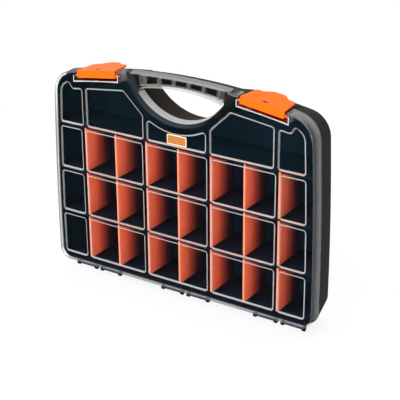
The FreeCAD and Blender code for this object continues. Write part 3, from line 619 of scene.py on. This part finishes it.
    def _notch(self, surface: Surface) -> tuple[Socket, Socket]:
        """Find the floors of the notches under the latches, for a painted shadow, and the lines round the
        notches, for painted highlights.

        Args:
            surface: Material being wired.

        Returns:
            Share of painted shadow on the floors, and share of painted highlight on the lines.
        """
        aside = surface.apart(surface.aside, LATCH_PLACE)
        radius = surface.from_axis(self.arch_centre)
        floor = self.arch_radius - self.notch_depth
        outer = self.notch_half + self.line
        depths = (self.front + depth for depth in self.behind_front)
        behind = surface.add(Kind.RANGE, (surface.y, *depths))
        shade = surface.all_of(
            surface.add(Kind.RANGE, (aside, *edge_at(self.notch_half), *FALLING)),
            surface.within(radius, *(floor + reach for reach in self.floor_reach)),
            behind,
            surface.add(Kind.RANGE, (surface.nz, *self.floor_lying)),
        )
        below = surface.all_of(
            surface.within(radius, floor - self.line, floor + self.line_overlap),
            surface.add(Kind.RANGE, (aside, *edge_at(outer), *FALLING)),
        )
        beside = surface.all_of(
            surface.within(aside, self.notch_half, outer),
            surface.within(radius, floor, floor + self.line_rise),
        )
        before = surface.add(Kind.MATHS, (1.0, behind), operation="SUBTRACT")
        return shade, surface.all_of(surface.any_of(below, beside), before)

    def _painted_refraction(self, surface: Surface) -> Socket:
        """Find the upward slopes that get a painted refraction of the orange of the dividers behind them.

        Args:
            surface: Material being wired.

        Returns:
            1 on such a slope, 0 elsewhere.
        """
        return surface.all_of(
            surface.add(Kind.RANGE, (surface.nz, *self.refraction_lying)),
            surface.within(surface.z, *self.refraction_heights),
            surface.add(Kind.RANGE, (surface.x, *self.refraction_places)),
        )

    def _slopes(self, surface: Surface, inner: Socket) -> Socket:
        """Work out how milky the slopes round the cells are, with painted shade that dims those facing
        right.

        Args:
            surface: Material being wired.
            inner: Share of the part inside the rounded edge.

        Returns:
            Opacity.
        """
        return surface.all_of(
            surface.add(Kind.RANGE, (surface.facing, *self.slope_start)),
            surface.add(Kind.RANGE, (surface.facing, *self.slope_end)),
            inner,
            # Painted shade: slopes that face right, away from the key light, are dimmer.
            surface.add(Kind.RANGE, (surface.nx, *self.slope_right, self.slope_alpha, self.shaded_slope_alpha)),
        )

    def _walls(self, surface: Surface) -> Socket:
        """Work out how milky the walls are that run from front to back, with painted shade below, on top and
        on the right.

        Args:
            surface: Material being wired.

        Returns:
            Opacity.
        """
        depths = (self.front + depth for depth in self.wall_depths)
        graded = surface.all_of(
            surface.add(Kind.RANGE, (surface.y, *depths, self.front_alpha, self.rear_alpha)),
            # Painted shade: the walls are dimmer where they face down, up and right.
            surface.add(Kind.RANGE, (surface.nz, *self.below)),
            surface.add(Kind.RANGE, (surface.nz, *self.upper)),
            surface.add(Kind.RANGE, (surface.nx, *self.right)),
        )
        upward = surface.add(Kind.RANGE, (surface.nz, *self.top_lying, 0.0, self.top_alpha))
        radius = surface.from_axis(HOLE_HEIGHT)
        scoop = surface.within(radius, self.hole_edge, self.hole_edge + self.scoop_width)
        milky = surface.all_of(
            surface.any_of(graded, upward),
            surface.add(Kind.RANGE, (scoop, 0.0, 1.0, 1.0, self.scoop_share)),
        )
        hole = surface.all_of(
            surface.add(Kind.RANGE, (radius, self.hole_edge - self.hole_blend, self.hole_edge, *FALLING)),
            surface.add(Kind.RANGE, (surface.nz, *self.hole_lying, 0.0, self.hole_alpha)),
            surface.add(Kind.RANGE, (surface.z, *self.grip)),
        )
        walls = surface.add(Kind.RANGE, (surface.facing, *self.wall_facing))
        return surface.all_of(walls, surface.any_of(milky, hole))


# Moulded polypropylene: matt and near black, the grain breaks up what little sheen there is.
TRAY_FINISH = TrayPlastic(
    name="moulded_polypropylene_tray",
    colour="#061822",
    shade="#091c26",
    roughness=0.62,
    grain=0.53,
    depth=0.1 * MM,
    specular=0.03,
)
# Moulded polypropylene: satin orange with painted light along the front edges and painted shade that loses
# it in the dark at the back.
DIVIDER_FINISH = DividerPlastic(
    name="moulded_polypropylene_divider",
    colour="#ff8a6a",
    shade="#1c121a",
    roughness=0.38,
    grain=0.71,
    depth=0.05 * MM,
    specular=0.2,
)
# Moulded polypropylene: strong satin orange with a soft highlight on the flaps.
LATCH_FINISH = LatchPlastic(
    name="moulded_polypropylene_latch",
    colour="#fb6406",
    shade="#f45e03",
    roughness=0.4,
    grain=0.67,
    depth=0.06 * MM,
    specular=0.08,
)
# Coated foil: a dull amber face with a pale border, no print on it.
FACE_FINISH = GrainedFinish(
    name="coated_foil_face",
    colour="#b8742e",
    shade="#a4601c",
    roughness=0.4,
    grain=0.83,
    depth=0.03 * MM,
)
BORDER_FINISH = GrainedFinish(
    name="coated_foil_border",
    colour="#ffe9cf",
    shade="#fbe0c2",
    roughness=0.4,
    grain=0.83,
    depth=0.03 * MM,
)
# Moulded clear polystyrene: panels that vanish, pale lines where slopes and walls catch the light, painted
# highlights round the notches, a painted shadow of the latches in them and a painted refraction of the
# orange dividers.
LID_FINISH = ClearPlastic(
    name="moulded_polystyrene_lid",
    colour="#c6c6c6",
    roughness=0.12,
    face_alpha=0.0015,
    slope_alpha=0.54,
    shaded_slope_alpha=0.26,
    front_alpha=0.05,
    rear_alpha=0.58,
    top_alpha=0.13,
    clip_alpha=0.04,
    notch_highlight_alpha=0.8,
    hole_alpha=0.72,
    rim_alpha=0.68,
    rim_colour="#4e5052",
    # Painted refraction of the orange dividers seen through the slopes.
    orange_refraction="#d0b4ae",
    # Painted shadow of the latches on the notches' floors.
    shade="#7a2408",
)


def dress(node: str, material: bpy.types.Material) -> None:
    """Give a CAD node a finished material.

    Args:
        node: Name of the CAD node.
        material: Material to show.
    """
    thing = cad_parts[node]
    thing.data.materials.clear()
    thing.data.materials.append(material)
    log.info("dressed %s in %s", node, material.name)


def soften(thing: bpy.types.Object, width: float) -> None:
    """Round a node's sharp edges for the highlights.

    Args:
        thing: Object to soften.
        width: Width of the bevel in metres.
    """
    weld = thing.modifiers.new("weld", "WELD")
    weld.merge_threshold = WELD_GAP
    bevel = thing.modifiers.new("edge_round", "BEVEL")
    bevel.width = width
    bevel.segments = ROUND_STEPS
    bevel.limit_method = "ANGLE"
    bevel.angle_limit = SHARP_ANGLE
    bevel.harden_normals = True
    log.info("softened %s", thing.name)


@dataclass
class Tray:
    """Dark tray with its loose dividers."""

    rows: int = 3
    slots: int = 7
    edge_round: float = 0.4 * MM
    dividers: list[bpy.types.Object] = field(default_factory=list)

    def build(self) -> None:
        """Collect the dividers that stand in the tray's grooves and round their edges."""
        for row in range(1, self.rows + 1):
            for slot in range(1, self.slots + 1):
                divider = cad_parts[f"divider_{row}_{slot}"]
                soften(divider, self.edge_round)
                self.dividers.append(divider)
        log.info("tray has %d dividers", len(self.dividers))

    def dress(self) -> None:
        """Finish the tray and the dividers."""
        dress("base_tray", TRAY_FINISH.material())
        orange = DIVIDER_FINISH.material()
        for divider in self.dividers:
            dress(divider.name, orange)


@dataclass
class Lid:
    """Clear lid with a small bare plate stuck on its middle panel."""

    # The plate's place and size across and upwards, on a panel that lies behind the lid's front.
    plate_place: Pair = (0.0007, 0.2173)
    plate_size: Pair = (0.0278, 0.0124)
    panel_depth: float = 0.0012
    border: float = 0.001
    thickness: float = 0.0008
    border_share: float = 0.6
    corner: float = 0.0016
    corner_steps: int = 5
    pieces: list[bpy.types.Object] = field(default_factory=list)

    def build(self) -> None:
        """Model the plate's border and its raised face."""
        width, height = self.plate_size
        self.pieces.append(self._slab("plate_border", width, height, self.thickness * self.border_share))
        inner = 2 * self.border
        self.pieces.append(self._slab("plate_face", width - inner, height - inner, self.thickness))

    def _slab(self, name: str, width: float, height: float, thickness: float) -> bpy.types.Object:
        """Model one thin round-cornered slab that lies on the panel.

        Args:
            name: Name of the piece.
            width: Size across in metres.
            height: Size upwards in metres.
            thickness: How far it stands off the panel in metres.

        Returns:
            The slab, riding on the lid.
        """
        across, up = self.plate_place
        place = (across, LID_LOW.y + self.panel_depth, up)
        bpy.ops.object.select_all(action="DESELECT")
        bpy.ops.mesh.primitive_plane_add(size=1.0)
        slab = bpy.context.object
        slab.name = name
        bpy.ops.object.mode_set(mode="EDIT")
        bpy.ops.mesh.select_all(action="SELECT")
        bpy.ops.transform.resize(value=(width, height, 1.0))
        bpy.ops.mesh.bevel(offset=self.corner, segments=self.corner_steps, affect="VERTICES")
        bpy.ops.transform.rotate(value=math.radians(90), orient_axis="X", center_override=(0, 0, 0))
        bpy.ops.transform.translate(value=place)
        bpy.ops.mesh.extrude_region_move(TRANSFORM_OT_translate={"value": (0, -thickness, 0)})
        bpy.ops.mesh.select_all(action="SELECT")
        bpy.ops.mesh.normals_make_consistent(inside=False)
        bpy.ops.object.mode_set(mode="OBJECT")
        bpy.ops.object.shade_smooth_by_angle(angle=SMOOTH_ANGLE)
        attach(slab, Body.LID.value)
        log.info("modelled %s", name)
        return slab

    def dress(self) -> None:
        """Finish the lid and its plate."""
        dress("lid", LID_FINISH.material())
        for piece, finish in zip(self.pieces, (BORDER_FINISH, FACE_FINISH)):
            piece.data.materials.append(finish.material())


@dataclass
class Latches:
    """Two flap latches on the lid's top edge."""

    names: tuple[str, str] = (Body.LATCH_LEFT.value, Body.LATCH_RIGHT.value)
    edge_round: float = 0.5 * MM

    def build(self) -> None:
        """Round the latches' edges."""
        for name in self.names:
            soften(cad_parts[name], self.edge_round)

    def dress(self) -> None:
        """Finish the latches."""
        orange = LATCH_FINISH.material()
        for name in self.names:
            dress(name, orange)


@dataclass(frozen=True)
class SoftLight:
    """Square soft light of the studio."""

    name: str
    place: Point
    size: float
    power: float

    def hang(self, target: Point) -> None:
        """Hang the light and turn it to a point.

        Args:
            target: Point it is turned to.
        """
        bpy.ops.object.select_all(action="DESELECT")
        bpy.ops.object.light_add(type="AREA", location=self.place)
        light = bpy.context.object
        light.name = self.name
        light.data.size = self.size
        light.data.energy = self.power
        view = Vector(target) - Vector(self.place)
        light.rotation_euler = view.to_track_quat("-Z", "Y").to_euler()
        log.info("hung light %s", self.name)


@dataclass
class Studio:
    """White table, soft lights and the photograph's camera."""

    # Angles are in degrees, lens and sensor in millimetres.
    camera_place: Point = (0.7347, -1.1123, 0.7091)
    azimuth: float = 32.93
    elevation: float = 23.54
    roll: float = -0.39
    lens: float = 104.86
    sensor: float = 36.0
    target: Point = (0.0, 0.0, 0.15)
    lights: tuple[SoftLight, ...] = (
        SoftLight("key", (-1.2, -1.6, 1.9), 1.4, 50.0),
        SoftLight("fill", (0.9, -1.9, 0.8), 1.2, 32.0),
        SoftLight("top", (0.1, 0.5, 2.0), 1.2, 26.0),
    )
    white: str = "#ffffff"
    paper: str = "#f4f4f4"
    # Strength of the light from all round, and the share of a full shadow that the floor
    # shows near the case.
    surroundings: float = 0.4
    floor_size: float = 30.0
    shadow: float = 0.14
    shadow_reach: float = 0.4

    def build(self) -> None:
        """Set up floor, surroundings, lights and camera."""
        self._floor()
        self._surroundings()
        for light in self.lights:
            light.hang(self.target)
        self._camera()
        bpy.context.scene.view_settings.view_transform = "Standard"

    def _floor(self) -> None:
        """Lay a plain floor that shows as white, with a faint shadow near the case."""
        bpy.ops.object.select_all(action="DESELECT")
        bpy.ops.mesh.primitive_plane_add(size=self.floor_size)
        floor = bpy.context.object
        floor.name = "floor"
        # Matt white paper: an even ground with no edge and no gloss.
        surface = Surface("matt_white_paper")
        away = surface.add(Kind.VECTOR_MATHS, (surface.place,), operation="LENGTH")
        reach = (self.shadow_reach, 2 * self.shadow_reach)
        white = surface.add(Kind.RANGE, (away, *reach, 1.0 - self.shadow, 1.0))
        shares = (
            surface.all_of(white, surface.shown()),
            surface.add(Kind.DIFFUSE, {"Color": linear(self.paper)}),
            surface.add(Kind.GLOW, {"Color": linear(self.white)}),
        )
        surface.add(Kind.MATERIAL_OUTPUT, {"Surface": surface.add(Kind.MIX_SHADER, shares)})
        floor.data.materials.append(surface.owner)
        log.info("laid the floor")

    def _surroundings(self) -> None:
        """Surround the table with white that lights the scene evenly."""
        world = bpy.data.worlds.new("studio")
        wiring = Wiring(world)
        strength = wiring.add(Kind.RANGE, (wiring.shown(), 0.0, 1.0, self.surroundings, 1.0))
        glow = wiring.add(Kind.BACKGROUND, {"Color": linear(self.white), "Strength": strength})
        wiring.add(Kind.WORLD_OUTPUT, {"Surface": glow})
        bpy.context.scene.world = world

    def _camera(self) -> None:
        """Place the camera as it stood for the photograph."""
        bpy.ops.object.select_all(action="DESELECT")
        bpy.ops.object.camera_add(location=self.camera_place)
        camera = bpy.context.object
        turn = Euler((math.radians(90 - self.elevation), 0, math.radians(self.azimuth))).to_matrix().to_4x4()
        roll = Matrix.Rotation(math.radians(self.roll), 4, "Z")
        camera.rotation_euler = (turn @ roll).to_euler()
        camera.data.lens = self.lens
        camera.data.sensor_width = self.sensor
        bpy.context.scene.camera = camera


def main() -> None:
    """Build and dress every sub-assembly and set up the studio."""
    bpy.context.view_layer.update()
    for part in (Tray(), Lid(), Latches()):
        part.build()
        part.dress()
    Studio().build()


if __name__ == "__main__":
    main()
